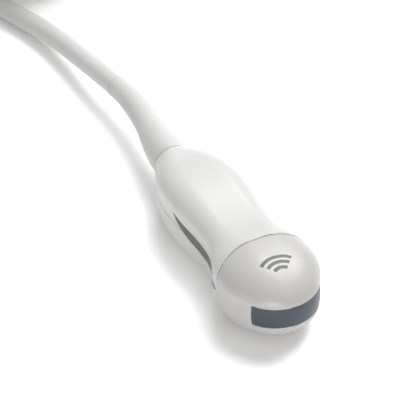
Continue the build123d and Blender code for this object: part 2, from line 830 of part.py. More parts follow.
# Tail: from the hank's outer top turn the cord climbs round the far fold to the plug that lies on the hank
tail_route = [
    (-271.0, -35.92, 22.0),
    (-298.0, -35.92, 22.0),
    (-316.9, -17.6, 29.5),
    (-316.9, 8.6, 40.5),
    (-298.2, 27.0, 48.4),
    (-272.0, 27.0, 48.4),
]
tail_radii = route_radii(tail_route)
print("tail radii", [round(radius, 1) for radius in tail_radii])
with BuildPart() as cord_tail:
    with BuildLine():
        tail_path = FilletPolyline(*tail_route, radius=tail_radii)
    with BuildSketch(Plane(tail_route[0], z_dir=(-1, 0, 0))):
        Circle(cord_radius)
    sweep()
print("tail length", round(tail_path.length, 2), "volume over section times length",
      round(cord_tail.part.volume / (section_area * tail_path.length), 5))
finish(cord_tail, "cord_tail")

# Places of the plug; its heights are counted from its rim, which rests on the hank
boot_end_x, entry_y, entry_z = tail_route[-1]
plug_seat = entry_z - entry_height
plug_rear = boot_end_x + plug_boot_length
plug_x = plug_rear + plug_length / 2
plug_y = entry_y - plug_entry_offset
entry_plane = Plane(tail_route[-1], x_dir=(0, 1, 0), z_dir=(1, 0, 0))
plug_inner_length = plug_length - 2 * plug_wall
plug_inner_width = plug_width - 2 * plug_wall
plug_inner_corner = plug_corner - plug_wall
lower_floor = plug_base + plug_wall
board_base = block_top
board_top = board_base + plug_board_thickness
print("plug centre", plug_x, plug_y, "seat", plug_seat, "hank height", hank_height)


def plug_level(height):
    """Level plane centred on the plug, at a height above its rim."""
    return Plane((plug_x, plug_y, plug_seat + height), x_dir=(1, 0, 0), z_dir=(0, 0, 1))


# Ribbed boot of the plug, with a neck and a flange that the housing holds
with BuildPart() as plug_boot:
    with BuildSketch(Plane(tail_route[-1], x_dir=(1, 0, 0), z_dir=(0, -1, 0))):
        with BuildLine():
            Polyline((0, bore_radius), (0, boot_tip_radius), (plug_boot_length, plug_boot_radius),
                     (plug_boot_length, boot_neck_radius),
                     (plug_boot_length + plug_wall, boot_neck_radius),
                     (plug_boot_length + plug_wall, boot_flange_radius),
                     (plug_boot_length + plug_wall + boot_flange_thickness, boot_flange_radius),
                     (plug_boot_length + plug_wall + boot_flange_thickness, bore_radius), close=True)
        make_face()
    revolve(axis=Axis(tail_route[-1], (1, 0, 0)))
    ring_pitch = plug_boot_length / (plug_boot_rings + 1)
    for ring in range(plug_boot_rings):
        ring_share = (ring + 1) / (plug_boot_rings + 1)
        ring_radius = boot_tip_radius + (plug_boot_radius - boot_tip_radius) * ring_share
        with BuildSketch(entry_plane.offset(ring_pitch * (ring + 1) - plug_boot_ring_width / 2)):
            Circle(ring_radius + overrun)
            Circle(max(ring_radius - plug_boot_ring_depth * ring_share, bore_radius + boot_tip_wall / 2),
                   mode=Mode.SUBTRACT)
        extrude(amount=plug_boot_ring_width, mode=Mode.SUBTRACT)
finish(plug_boot, "plug_boot")

# End of the cord inside the plug, held by a clamp on the board
clamp_rear = plug_rear + clamp_setback
plug_core_end = clamp_rear + clamp_length + plug_core_landing
with BuildPart() as plug_cable_core:
    with BuildSketch(entry_plane):
        Circle(cord_radius)
    extrude(amount=plug_core_end - boot_end_x)
finish(plug_cable_core, "plug_cable_core")

clamp_top = entry_height + clamp_rise
with BuildPart() as plug_cable_clamp:
    with BuildSketch(Plane((clamp_rear, entry_y, plug_seat), x_dir=(0, 1, 0), z_dir=(1, 0, 0))):
        with Locations((0, (clamp_top + board_top) / 2)):
            RectangleRounded(clamp_width, clamp_top - board_top, clamp_round)
        with Locations((0, entry_height)):
            Circle(cord_radius, mode=Mode.SUBTRACT)
    extrude(amount=clamp_length)
finish(plug_cable_clamp, "plug_cable_clamp")

# Coaxial wires from the cord's end to the two headers
with BuildPart() as plug_wires:
    header_wire_z = plug_seat + board_top + plug_header_height / 2
    header_end_x = plug_x - plug_header_length / 2
    for side in (1, -1):
        for step in (-1, 1):
            lane = step * plug_wire_spacing
            start = Vector(plug_core_end, entry_y + side * plug_wire_spacing, entry_z + lane)
            lead = start + Vector(plug_wire_lead, 0, 0)
            end = Vector(header_end_x, plug_y + side * plug_header_offset + lane, header_wire_z)
            landing = end - Vector(plug_wire_landing, 0, 0)
            with BuildLine():
                path = FilletPolyline(start, lead, landing, end, radius=plug_wire_bend)
            with BuildSketch(Plane(start, z_dir=(1, 0, 0))):
                Circle(plug_wire_radius)
            sweep(path=path)
finish(plug_wires, "plug_wires")

# Lower housing of the plug: a tray with the opening for the mating rim
with BuildPart() as plug_lower_housing:
    with BuildSketch(plug_level(plug_base)):
        RectangleRounded(plug_length, plug_width, plug_corner)
    extrude(amount=entry_height - plug_base)
    chamfer(plug_lower_housing.faces().sort_by(Axis.Z)[0].edges(), length=plug_bottom_round)
    with BuildSketch(plug_level(lower_floor)):
        RectangleRounded(plug_inner_length, plug_inner_width, plug_inner_corner)
    extrude(amount=entry_height, mode=Mode.SUBTRACT)
    with BuildSketch(plug_level(lower_floor)):
        with GridLocations(2 * plug_screw_offset_x, 2 * plug_screw_offset_y, 2, 2):
            Circle(plug_boss_radius)
    extrude(amount=entry_height - lower_floor)
    with BuildSketch(plug_level(plug_base)):
        RectangleRounded(shroud_length + 2 * fit_clearance, shroud_width + 2 * fit_clearance,
                         shroud_corner + fit_clearance)
    extrude(amount=plug_wall, mode=Mode.SUBTRACT)
    with BuildSketch(plug_level(plug_base)):
        with GridLocations(2 * plug_screw_offset_x, 2 * plug_screw_offset_y, 2, 2):
            Circle(plug_screw_radius)
    extrude(amount=entry_height, mode=Mode.SUBTRACT)
    with BuildSketch(plug_level(plug_base)):
        with GridLocations(2 * plug_screw_offset_x, 2 * plug_screw_offset_y, 2, 2):
            Circle(plug_screw_head_radius)
    extrude(amount=plug_screw_head_height, mode=Mode.SUBTRACT)
    with BuildSketch(entry_plane):
        Circle(boot_neck_radius)
    extrude(amount=plug_boot_length + 2 * plug_wall, mode=Mode.SUBTRACT)
finish(plug_lower_housing, "plug_lower_housing")

# Upper housing: a rounded cover with finger grooves and a recess for the lever
bush_radius = lock_shaft_radius + lock_running_clearance + bush_wall
recess_floor = plug_top - lock_recess_depth
cover_inside = recess_floor - plug_wall
with BuildPart() as plug_upper_housing:
    with BuildSketch(plug_level(entry_height)):
        RectangleRounded(plug_length, plug_width, plug_corner)
    extrude(amount=plug_top - entry_height)
    fillet(plug_upper_housing.faces().sort_by(Axis.Z)[-1].edges(), plug_top_round)
    with BuildSketch(plug_level(entry_height)):
        RectangleRounded(plug_inner_length, plug_inner_width, plug_inner_corner)
    extrude(amount=cover_inside - entry_height, mode=Mode.SUBTRACT)
    with BuildSketch(plug_level(entry_height)):
        with GridLocations(2 * plug_screw_offset_x, 2 * plug_screw_offset_y, 2, 2):
            Circle(plug_boss_radius)
    extrude(amount=cover_inside - entry_height)
    with BuildSketch(plug_level(recess_floor - bush_length)):
        Circle(bush_radius + plug_wall)
    extrude(amount=bush_length)
    with BuildSketch(plug_level(recess_floor)):
        Circle(lock_recess_radius)
    extrude(amount=lock_recess_depth, mode=Mode.SUBTRACT)
    with BuildSketch(plug_level(recess_floor - bush_length)):
        Circle(bush_radius)
    extrude(amount=bush_length, mode=Mode.SUBTRACT)
    with BuildSketch(plug_level(entry_height)):
        with GridLocations(2 * plug_screw_offset_x, 2 * plug_screw_offset_y, 2, 2):
            Circle(plug_screw_radius)
    extrude(amount=plug_base + plug_screw_head_height + plug_screw_length - entry_height, mode=Mode.SUBTRACT)
    with BuildSketch(entry_plane):
        Circle(boot_neck_radius)
    extrude(amount=plug_boot_length + 2 * plug_wall, mode=Mode.SUBTRACT)
    groove_middle = (entry_height + plug_top - plug_top_round) / 2
    groove_height = plug_top - plug_top_round - entry_height - 2 * plug_bottom_round
    for side in (1, -1):
        with BuildSketch(Plane((plug_x, plug_y + side * plug_width / 2, plug_seat + groove_middle),
                               x_dir=(1, 0, 0), z_dir=(0, side, 0))):
            with GridLocations(grip_groove_pitch, 0, grip_groove_count, 1):
                SlotOverall(groove_height, grip_groove_width, rotation=90)
        extrude(amount=-grip_groove_depth, mode=Mode.SUBTRACT)
finish(plug_upper_housing, "plug_upper_housing")

# Mating rim with a flange that rests on the lower housing's floor
with BuildPart() as plug_shroud:
    with BuildSketch(plug_level(0)):
        RectangleRounded(shroud_length, shroud_width, shroud_corner)
    extrude(amount=shroud_height)
    with BuildSketch(plug_level(lower_floor)):
        RectangleRounded(shroud_length + 2 * shroud_flange, shroud_width + 2 * shroud_flange,
                         shroud_corner + shroud_flange)
    extrude(amount=shroud_flange_thickness)
    with BuildSketch(plug_level(0)):
        RectangleRounded(shroud_length - 2 * shroud_wall, shroud_width - 2 * shroud_wall,
                         shroud_corner - shroud_wall)
    extrude(amount=shroud_height, mode=Mode.SUBTRACT)
finish(plug_shroud, "plug_shroud")

# Contact block with a pocket in which the shaft's cross head turns
cross_reach = sqrt(cross_head_length ** 2 + cross_head_width ** 2) / 2
pocket_radius = cross_reach + cross_pocket_clearance
pocket_top = shaft_base + cross_head_height + cross_pocket_clearance
with BuildPart() as plug_contact_block:
    with BuildSketch(plug_level(block_base)):
        RectangleRounded(shroud_length - 2 * shroud_wall - 2 * fit_clearance,
                         shroud_width - 2 * shroud_wall - 2 * fit_clearance,
                         shroud_corner - shroud_wall - fit_clearance)
    extrude(amount=block_top - block_base)
    with BuildSketch(plug_level(block_base)):
        Circle(pocket_radius)
    extrude(amount=pocket_top - block_base, mode=Mode.SUBTRACT)
    with BuildSketch(plug_level(block_base)):
        Circle(lock_shaft_radius + shaft_block_clearance)
    extrude(amount=block_top - block_base, mode=Mode.SUBTRACT)
finish(plug_contact_block, "plug_contact_block")

# Contact pads on the block's face, in a field on each side of the shaft
with BuildPart() as plug_contacts:
    with BuildSketch(plug_level(block_base)):
        with GridLocations(0, 2 * contact_row_centre, 1, 2):
            with GridLocations(contact_pitch, contact_pitch, contact_columns, contact_rows):
                Rectangle(contact_size, contact_size)
    extrude(amount=-contact_height)
finish(plug_contacts, "plug_contacts")

# Circuit board of the plug, with the two headers of the cable's wires
with BuildPart() as plug_board:
    with BuildSketch(plug_level(board_base)):
        RectangleRounded(plug_board_length, plug_board_width, plug_board_corner)
        Circle(lock_shaft_radius + shaft_block_clearance, mode=Mode.SUBTRACT)
    extrude(amount=plug_board_thickness)
finish(plug_board, "plug_board")

with BuildPart() as plug_headers:
    with BuildSketch(plug_level(board_top)):
        with GridLocations(0, 2 * plug_header_offset, 1, 2):
            RectangleRounded(plug_header_length, plug_header_width, header_edge)
    extrude(amount=plug_header_height)
finish(plug_headers, "plug_headers")

# Four long screws, put in from below, that hold the housings together
with BuildPart() as plug_screws:
    with BuildSketch(plug_level(plug_base)):
        with GridLocations(2 * plug_screw_offset_x, 2 * plug_screw_offset_y, 2, 2):
            Circle(plug_screw_head_radius)
    extrude(amount=plug_screw_head_height)
    with BuildSketch(plug_level(plug_base + plug_screw_head_height)):
        with GridLocations(2 * plug_screw_offset_x, 2 * plug_screw_offset_y, 2, 2):
            Circle(plug_screw_radius)
    extrude(amount=plug_screw_length)
    with BuildSketch(plug_level(plug_base)):
        with GridLocations(2 * plug_screw_offset_x, 2 * plug_screw_offset_y, 2, 2):
            RegularPolygon(plug_screw_radius, 6)
    extrude(amount=plug_screw_head_height / 2, mode=Mode.SUBTRACT)
finish(plug_screws, "plug_screws")

# Lock: bush in the cover, shaft with a cross head, retaining clip and lever
shaft_bore = lock_shaft_radius + lock_running_clearance
bush_base = recess_floor - bush_length
with BuildPart() as lock_bush:
    with BuildSketch(plug_level(bush_base)):
        Circle(bush_radius)
    extrude(amount=bush_length)
    with BuildSketch(plug_level(recess_floor)):
        Circle(bush_flange_radius)
    extrude(amount=bush_flange_thickness)
    with BuildSketch(plug_level(bush_base)):
        Circle(shaft_bore)
    extrude(amount=bush_length + bush_flange_thickness, mode=Mode.SUBTRACT)
finish(lock_bush, "lock_bush")

lever_base = recess_floor + bush_flange_thickness + lock_gap
clip_top = bush_base - lock_gap
groove_radius = lock_shaft_radius - clip_groove_depth
with BuildPart() as lock_shaft:
    with BuildSketch(plug_level(shaft_base)):
        Circle(lock_shaft_radius)
    extrude(amount=lever_base + shaft_in_lever - shaft_base)
    with BuildSketch(plug_level(shaft_base)):
        RectangleRounded(cross_head_length, cross_head_width, cross_head_width / 3)
    extrude(amount=cross_head_height)
    with BuildSketch(plug_level(clip_top - clip_thickness)):
        Circle(lock_shaft_radius)
        Circle(groove_radius, mode=Mode.SUBTRACT)
    extrude(amount=clip_thickness, mode=Mode.SUBTRACT)
finish(lock_shaft, "lock_shaft")

with BuildPart() as lock_clip:
    with BuildSketch(plug_level(clip_top - clip_thickness)):
        Circle(groove_radius + clip_width)
        Circle(groove_radius, mode=Mode.SUBTRACT)
    extrude(amount=clip_thickness)
finish(lock_clip, "lock_clip")

with BuildPart() as lock_lever:
    with BuildSketch(plug_level(lever_base)):
        Circle(lever_hub_radius)
    extrude(amount=lever_hub_height)
    chamfer(lock_lever.edges().filter_by(GeomType.CIRCLE).sort_by(Axis.Z)[-1], length=lever_hub_edge)
    with BuildSketch(plug_level(lever_base + lever_hub_edge)):
        SlotOverall(lever_length, lever_width)
    extrude(amount=lever_height - lever_hub_edge)
    fillet(lock_lever.faces().sort_by(Axis.Z)[-1].edges(), lever_edge)
    with BuildSketch(plug_level(lever_base)):
        Circle(lock_shaft_radius)
    extrude(amount=shaft_in_lever, mode=Mode.SUBTRACT)
finish(lock_lever, "lock_lever")
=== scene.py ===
# %% [markdown]
# # A small curved-array ultrasound probe
#
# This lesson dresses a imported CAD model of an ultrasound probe, its cord and its system plug. The solids
# already stand at their real size, so nothing here moves them. What is made here is what a camera sees: the
# moulded skins, the soft lens, the satin cord, the printed mark, and a plain white table with soft light.

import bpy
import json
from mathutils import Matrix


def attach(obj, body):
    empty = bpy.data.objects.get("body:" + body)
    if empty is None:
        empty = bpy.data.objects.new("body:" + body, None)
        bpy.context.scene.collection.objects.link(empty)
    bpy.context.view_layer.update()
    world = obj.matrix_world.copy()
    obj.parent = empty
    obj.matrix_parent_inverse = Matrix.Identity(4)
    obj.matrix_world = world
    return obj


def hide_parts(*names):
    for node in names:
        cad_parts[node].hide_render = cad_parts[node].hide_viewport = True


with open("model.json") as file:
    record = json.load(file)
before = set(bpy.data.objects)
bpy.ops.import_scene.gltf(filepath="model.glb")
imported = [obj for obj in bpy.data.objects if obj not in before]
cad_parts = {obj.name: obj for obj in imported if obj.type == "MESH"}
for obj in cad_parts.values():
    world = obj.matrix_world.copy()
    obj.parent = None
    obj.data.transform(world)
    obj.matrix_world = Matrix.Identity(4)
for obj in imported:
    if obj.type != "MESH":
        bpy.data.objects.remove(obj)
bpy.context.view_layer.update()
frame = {"nodes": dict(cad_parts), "record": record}

import json
from math import cos, pi, radians, sin

import bpy
from mathutils import Matrix, Vector

mm = 0.001

# %% [markdown]
# ## The camera
#
# The photograph was taken with a long lens from above the probe's nose, a little to its left. The camera is
# aimed at a point on the probe's axis in the middle of the picture. Its azimuth, elevation and distance
# give its place, and a small roll levels it as the photographer held it.

# %% Camera
aim_point = Vector((3.0 * mm, -1.0 * mm, 14.8 * mm))
camera_azimuth = radians(64.99)
camera_elevation = radians(38.28)
camera_distance = 1.1202
camera_roll = radians(-1.68)
lens_length, sensor_width = 265.1, 36        # in millimetres, as lenses are named
nearest_seen = 0.05

towards_camera = Vector((sin(camera_azimuth) * cos(camera_elevation),
                         -cos(camera_azimuth) * cos(camera_elevation), sin(camera_elevation)))
level_right = Vector((cos(camera_azimuth), sin(camera_azimuth), 0))
level_up = towards_camera.cross(level_right)
camera_right = level_right * cos(camera_roll) + level_up * sin(camera_roll)
camera_up = towards_camera.cross(camera_right)
bpy.ops.object.camera_add()
camera = bpy.context.object
camera.name = "camera"
camera.data.lens = lens_length
camera.data.sensor_width = sensor_width
camera.data.clip_start = nearest_seen
camera.matrix_world = Matrix((camera_right, camera_up, towards_camera)).transposed().to_4x4()
camera.location = aim_point + towards_camera * camera_distance
bpy.context.scene.camera = camera
print("camera at", [round(value, 4) for value in camera.location])

# %% [markdown]
# ## The cord
#
# A probe's cord is about two metres of thick, soft, multi-core cable. A curve with a round bevel is the
# natural way to make it: a NURBS spline needs only a few points and stays smooth between them. The first
# points follow the cord from its strain relief down to the table. The rest is folded into a tied hank of
# two columns and three layers, just outside the picture, and climbs round the hank's far end to the plug
# that lies on it.

# %% Free stretch of the cord
cord_diameter = 8.8 * mm
cord_radius = cord_diameter / 2
free_route = [
    Vector((-80.0, 2.8, 13.1)) * mm,
    Vector((-104.0, 0.274, 11.055)) * mm,
    Vector((-134.0, -2.0, 6.6)) * mm,
    Vector((-163.0, -10.4, 4.4)) * mm,
    Vector((-188.0, -19.5, 4.4)) * mm,
    Vector((-208.3, -31.2, 4.4)) * mm,
]

# %% [markdown]
# A hank is a flat oval of turns. Each lap runs along the near side, round the far fold, back along the
# other side and round the near fold. A sixth of a lap is one straight run and a third is one fold. Once a
# lap, on the far side, the cord crosses from its slot to the next one.

# %% Slots of the hank
fold_radius = 30.8 * mm
outer_turn = fold_radius + cord_radius
inner_turn = fold_radius - cord_radius
hank_run = 56 * mm
layer_heights = [cord_diameter * (layer + 0.5) for layer in range(3)]
turn_slots = [
    (outer_turn, layer_heights[0]), (inner_turn, layer_heights[0]), (inner_turn, layer_heights[1]),
    (outer_turn, layer_heights[1]), (inner_turn, layer_heights[2]), (outer_turn, layer_heights[2]),
]
slot_changes = (0.66, 1.635, 2.61, 3.55, 4.525)
change_length = 0.14


def slot_at(laps):
    """Radius and height of the turn after this many laps."""
    radius, height = turn_slots[0]
    for start, (next_radius, next_height) in zip(slot_changes, turn_slots[1:]):
        share = min(max((laps - start) / change_length, 0), 1)
        share = share * share * (3 - 2 * share)
        radius += (next_radius - radius) * share
        height += (next_height - height) * share
    return radius, height


# %% Laps of the hank
entry_angle = radians(300)
near_fold = free_route[-1] - outer_turn * Vector((cos(entry_angle), sin(entry_angle), 0))
far_fold = near_fold - Vector((hank_run, 0, 0))
run_share, fold_share = 1 / 6, 1 / 3
entry_share = -fold_share / 6
tie_middle = (near_fold.x + far_fold.x) / 2
tie_reach = 17 * mm
tie_squeeze = 0.84


def hank_point(laps):
    """The cord's place after this many laps; the tie squeezes its turns a little."""
    radius, height = slot_at(laps)
    share = (laps + entry_share) % 1
    if share < run_share:
        x = near_fold.x - hank_run * share / run_share
        if abs(x - tie_middle) < tie_reach:
            radius = fold_radius + (radius - fold_radius) * tie_squeeze
            height = layer_heights[1] + (height - layer_heights[1]) * tie_squeeze
        return Vector((x, near_fold.y - radius, height))
    share -= run_share
    if share < fold_share:
        angle = -pi / 2 - pi * share / fold_share
        return Vector((far_fold.x + radius * cos(angle), far_fold.y + radius * sin(angle), height))
    share -= fold_share
    if share < run_share:
        return Vector((far_fold.x + hank_run * share / run_share, near_fold.y + radius, height))
    angle = pi / 2 - pi * (share - run_share) / fold_share
    return Vector((near_fold.x + radius * cos(angle), near_fold.y + radius * sin(angle), height))


# %% Whole route
tail_route = [
    Vector((-271.0, -35.92, 22.0)) * mm,
    Vector((-298.0, -35.92, 22.0)) * mm,
    Vector((-316.9, -17.6, 29.5)) * mm,
    Vector((-316.9, 8.6, 40.5)) * mm,
    Vector((-298.2, 27.0, 48.4)) * mm,
    Vector((-272.0, 27.0, 48.4)) * mm,
]
points_per_lap = 24
laps_wound = 5 - entry_share + run_share * (near_fold.x - tail_route[0].x) / hank_run
hank_steps = round(laps_wound * points_per_lap)
hank_route = [hank_point(laps_wound * step / hank_steps) for step in range(1, hank_steps)]
cord_points = free_route + hank_route + tail_route
print("laps", round(laps_wound, 3), "points on the cord", len(cord_points))

# %% [markdown]
# Each point of the spline carries the cord's radius and the bevel's own depth is 1, so the two together
# give the true thickness. Blender grows a curve's bounding box by the radius of its points, and with the
# usual radius of 1 the box would reach a metre past the cord.

# %% Cord as a curve
steps_between_points = 6
steps_round_cord = 7
bpy.ops.curve.primitive_nurbs_path_add()
cord = bpy.context.object
cord.name = "probe_cord"
cord.location = (0, 0, 0)
cord.data.splines.clear()
cord_spline = cord.data.splines.new("NURBS")
cord_spline.points.add(len(cord_points) - 1)
for point, place in zip(cord_spline.points, cord_points):
    point.co = (*place, 1)
    point.radius = cord_radius
cord_spline.order_u = 3
cord_spline.use_endpoint_u = True
cord_spline.resolution_u = steps_between_points
cord.data.dimensions = "3D"
cord.data.bevel_depth = 1
cord.data.bevel_resolution = steps_round_cord
cord.data.use_fill_caps = True
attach(cord, "probe")
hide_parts("cord", "cord_hank", "cord_tail")
print("cord", cord.name, "thickness", cord_diameter)

# %% [markdown]
# ## Smooth skins
#
# A CAD solid arrives as loose triangles. A copy with its corners merged can be shaded smooth, with a crease
# only where two faces meet at a real edge. CAD triangles are often long and thin, and weighted normals let
# the large faces set the shading, so that the thin ones leave no streaks. The copies stand for the solids
# whose outside is seen.

# %% Merged copies of the visible shells
bodies_of_nodes = {node: body for body, nodes in frame["record"]["behaviour"]["bodies"].items()
                   for node in nodes}
slots_of_nodes = {part["node"]: part["material_slot"] for part in frame["record"]["subparts"]}
merge_distance = 0.002 * mm
crease_angle = radians(55)
skins = {}


def smooth_skin(node):
    """A merged and smoothly shaded copy that stands for a CAD node."""
    skin = bpy.data.objects.new("skin_" + node, frame["nodes"][node].data.copy())
    bpy.context.scene.collection.objects.link(skin)
    bpy.ops.object.select_all(action="DESELECT")
    skin.select_set(True)
    bpy.context.view_layer.objects.active = skin
    bpy.ops.object.mode_set(mode="EDIT")
    bpy.ops.mesh.select_all(action="SELECT")
    bpy.ops.mesh.remove_doubles(threshold=merge_distance)
    bpy.ops.object.mode_set(mode="OBJECT")
    bpy.ops.object.shade_smooth_by_angle(angle=crease_angle)
    bpy.ops.object.modifier_add(type="WEIGHTED_NORMAL")
    skin.modifiers[-1].keep_sharp = True
    bpy.ops.object.modifier_apply(modifier=skin.modifiers[-1].name)
    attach(skin, bodies_of_nodes[node])
    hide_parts(node)
    skins[node] = skin


seen_nodes = (
    "acoustic_lens", "nosepiece", "seam_gasket", "handle_upper", "handle_lower", "side_inlay_left",
    "side_inlay_right", "strain_relief", "cord_tie", "plug_boot", "plug_lower_housing", "plug_upper_housing",
    "plug_shroud", "plug_contact_block", "lock_bush", "lock_shaft", "lock_lever",
)
for node in seen_nodes:
    smooth_skin(node)
print("skins", {node: len(skin.data.vertices) for node, skin in skins.items()})

# %% [markdown]
# ## Effects that the finishes share
#
# Real plastics and metals are never one flat value. Three small node groups carry what they have in common:
# a slow drift between two close colours, patches where handling has polished the surface, and a fine
# moulded grain for the bump. Each finish places them with its own values.

# %% Helpers for node groups
def new_group(name, inputs, outputs):
    """An empty shader node group with named float, vector or colour sockets."""
    tree = bpy.data.node_groups.new(name, "ShaderNodeTree")
    kinds = {"f": "NodeSocketFloat", "v": "NodeSocketVector", "c": "NodeSocketColor"}
    for label, kind in inputs:
        tree.interface.new_socket(name=label, in_out="INPUT", socket_type=kinds[kind])
    for label, kind in outputs:
        tree.interface.new_socket(name=label, in_out="OUTPUT", socket_type=kinds[kind])
    return tree, tree.nodes.new("NodeGroupInput"), tree.nodes.new("NodeGroupOutput")


def math_node(tree, operation, first, second=None, third=None):
    """A Math node fed by sockets or numbers; gives its output."""
    node = tree.nodes.new("ShaderNodeMath")
    node.operation = operation
    for socket, value in zip(node.inputs, (first, second, third)):
        if isinstance(value, (int, float)):
            socket.default_value = value
        elif value is not None:
            tree.links.new(value, socket)
    return node.outputs[0]


def noise_node(tree, vector, scale, detail):
    """A Noise texture; its scale may be a socket. Gives its factor."""
    node = tree.nodes.new("ShaderNodeTexNoise")
    node.inputs["Detail"].default_value = detail
    tree.links.new(vector, node.inputs["Vector"])
    if isinstance(scale, (int, float)):
        node.inputs["Scale"].default_value = scale
    else:
        tree.links.new(scale, node.inputs["Scale"])
    return node.outputs[0]


# %% Colour drift
drift_detail = 3
noise_low, noise_high = 0.3, 0.7        # where a Noise texture's values mostly lie
colour_drift, source, result = new_group(
    "colour_drift",
    [("Vector", "v"), ("Colour", "c"), ("Second Colour", "c"), ("Scale", "f"), ("Amount", "f")],
    [("Colour", "c")])
patches = noise_node(colour_drift, source.outputs["Vector"], source.outputs["Scale"], drift_detail)
spread = colour_drift.nodes.new("ShaderNodeMapRange")
spread.inputs["From Min"].default_value = noise_low
spread.inputs["From Max"].default_value = noise_high
colour_drift.links.new(patches, spread.inputs["Value"])
share = math_node(colour_drift, "MULTIPLY", spread.outputs[0], source.outputs["Amount"])
blend = colour_drift.nodes.new("ShaderNodeMix")
blend.data_type = "RGBA"
colour_drift.links.new(share, blend.inputs[0])
colour_drift.links.new(source.outputs["Colour"], blend.inputs[6])
colour_drift.links.new(source.outputs["Second Colour"], blend.inputs[7])
colour_drift.links.new(blend.outputs[2], result.inputs["Colour"])
print("group", colour_drift.name)

# %% Handling gloss
gloss_detail = 4
noise_middle = 0.5
handling_gloss, source, result = new_group(
    "handling_gloss", [("Vector", "v"), ("Roughness", "f"), ("Spread", "f"), ("Scale", "f")],
    [("Roughness", "f")])
patches = noise_node(handling_gloss, source.outputs["Vector"], source.outputs["Scale"], gloss_detail)
offset = math_node(handling_gloss, "SUBTRACT", patches, noise_middle)
rough = math_node(handling_gloss, "MULTIPLY_ADD", offset, source.outputs["Spread"],
                  source.outputs["Roughness"])
handling_gloss.links.new(rough, result.inputs["Roughness"])
print("group", handling_gloss.name)

# %% Moulded grain
fine_detail, broad_detail = 2, 1
broad_share = 0.04        # the broad waves' scale as a share of the fine grain's
moulded_grain, source, result = new_group(
    "moulded_grain", [("Vector", "v"), ("Scale", "f"), ("Waviness", "f")], [("Height", "f")])
fine = noise_node(moulded_grain, source.outputs["Vector"], source.outputs["Scale"], fine_detail)
broad_scale = math_node(moulded_grain, "MULTIPLY", source.outputs["Scale"], broad_share)
broad = noise_node(moulded_grain, source.outputs["Vector"], broad_scale, broad_detail)
height = math_node(moulded_grain, "MULTIPLY_ADD", broad, source.outputs["Waviness"], fine)
moulded_grain.links.new(height, result.inputs["Height"])
print("group", moulded_grain.name)

# %% [markdown]
# ## Finishes
#
# One function builds a finish: a Principled shader whose colour, roughness and bump come from the shared
# groups. What is the same all over, such as metallic or the coat, is set on the shader itself. Scales count
# details per metre, because every pattern reads Object coordinates.

# %% Finish maker
finishes = {}
bump_strength = 0.5


def place_group(tree, group, vector, values):
    """A node group placed in a material, with numbers or colours on its inputs."""
    node = tree.nodes.new("ShaderNodeGroup")
    node.node_tree = group
    tree.links.new(vector, node.inputs["Vector"])
    for label, value in values.items():
        node.inputs[label].default_value = value
    return node


def make_finish(name, colour, second, roughness, drift=(45, 0.6), gloss=(0.1, 60), grain=(4200, 0.6),
                bump=0.02, metallic=0.0, coat=0.0):
    """A procedural finish; bump is its depth in millimetres."""
    material = bpy.data.materials.new(name)
    material.use_nodes = True
    tree = material.node_tree
    shader = tree.nodes["Principled BSDF"]
    shader.inputs["Metallic"].default_value = metallic
    shader.inputs["Coat Weight"].default_value = coat
    place = tree.nodes.new("ShaderNodeTexCoord").outputs["Object"]
    tint = place_group(tree, colour_drift, place, {"Colour": (*colour, 1), "Second Colour": (*second, 1),
                                                   "Scale": drift[0], "Amount": drift[1]})
    tree.links.new(tint.outputs[0], shader.inputs["Base Color"])
    polish = place_group(tree, handling_gloss, place,
                         {"Roughness": roughness, "Spread": gloss[0], "Scale": gloss[1]})
    tree.links.new(polish.outputs[0], shader.inputs["Roughness"])
    texture = place_group(tree, moulded_grain, place, {"Scale": grain[0], "Waviness": grain[1]})
    relief = tree.nodes.new("ShaderNodeBump")
    relief.inputs["Strength"].default_value = bump_strength
    relief.inputs["Distance"].default_value = bump * mm
    tree.links.new(texture.outputs[0], relief.inputs["Height"])
    tree.links.new(relief.outputs[0], shader.inputs["Normal"])
    finishes[name] = material


# %% Plastics and rubbers of the probe
make_finish("handle_shell", (0.79, 0.79, 0.775), (0.76, 0.76, 0.745), 0.36, bump=0.006, gloss=(0.08, 80))
make_finish("nose_shell", (0.655, 0.648, 0.625), (0.625, 0.618, 0.595), 0.34, bump=0.006, gloss=(0.08, 80))
make_finish("lens_rubber", (0.046, 0.062, 0.086), (0.058, 0.074, 0.098), 0.42, bump=0.008, grain=(2600, 1.2))
make_finish("seam_rubber", (0.86, 0.86, 0.85), (0.82, 0.82, 0.81), 0.6, bump=0.01)
make_finish("grip_inlay", (0.125, 0.123, 0.107), (0.105, 0.103, 0.09), 0.52, bump=0.05, grain=(2400, 0.3))
make_finish("boot_rubber", (0.77, 0.77, 0.755), (0.73, 0.73, 0.715), 0.46, bump=0.012, grain=(3000, 0.8))
make_finish("cord_jacket", (0.77, 0.77, 0.755), (0.73, 0.73, 0.715), 0.44, bump=0.012, grain=(3000, 0.8))
print("finishes", len(finishes))

# %% Plastics of the plug
make_finish("plug_shell", (0.74, 0.74, 0.72), (0.68, 0.68, 0.66), 0.48, bump=0.04, grain=(2200, 0.2))
make_finish("lever_plastic", (0.15, 0.16, 0.185), (0.12, 0.13, 0.15), 0.5, bump=0.04, grain=(2200, 0.2))
make_finish("contact_block", (0.018, 0.018, 0.020), (0.028, 0.028, 0.030), 0.55, bump=0.02)
make_finish("connector_body", (0.60, 0.57, 0.46), (0.52, 0.50, 0.40), 0.5, bump=0.02)
make_finish("strap_fabric", (0.06, 0.065, 0.072), (0.10, 0.105, 0.115), 0.85, drift=(900, 0.7),
            grain=(1500, 0.1), bump=0.35)

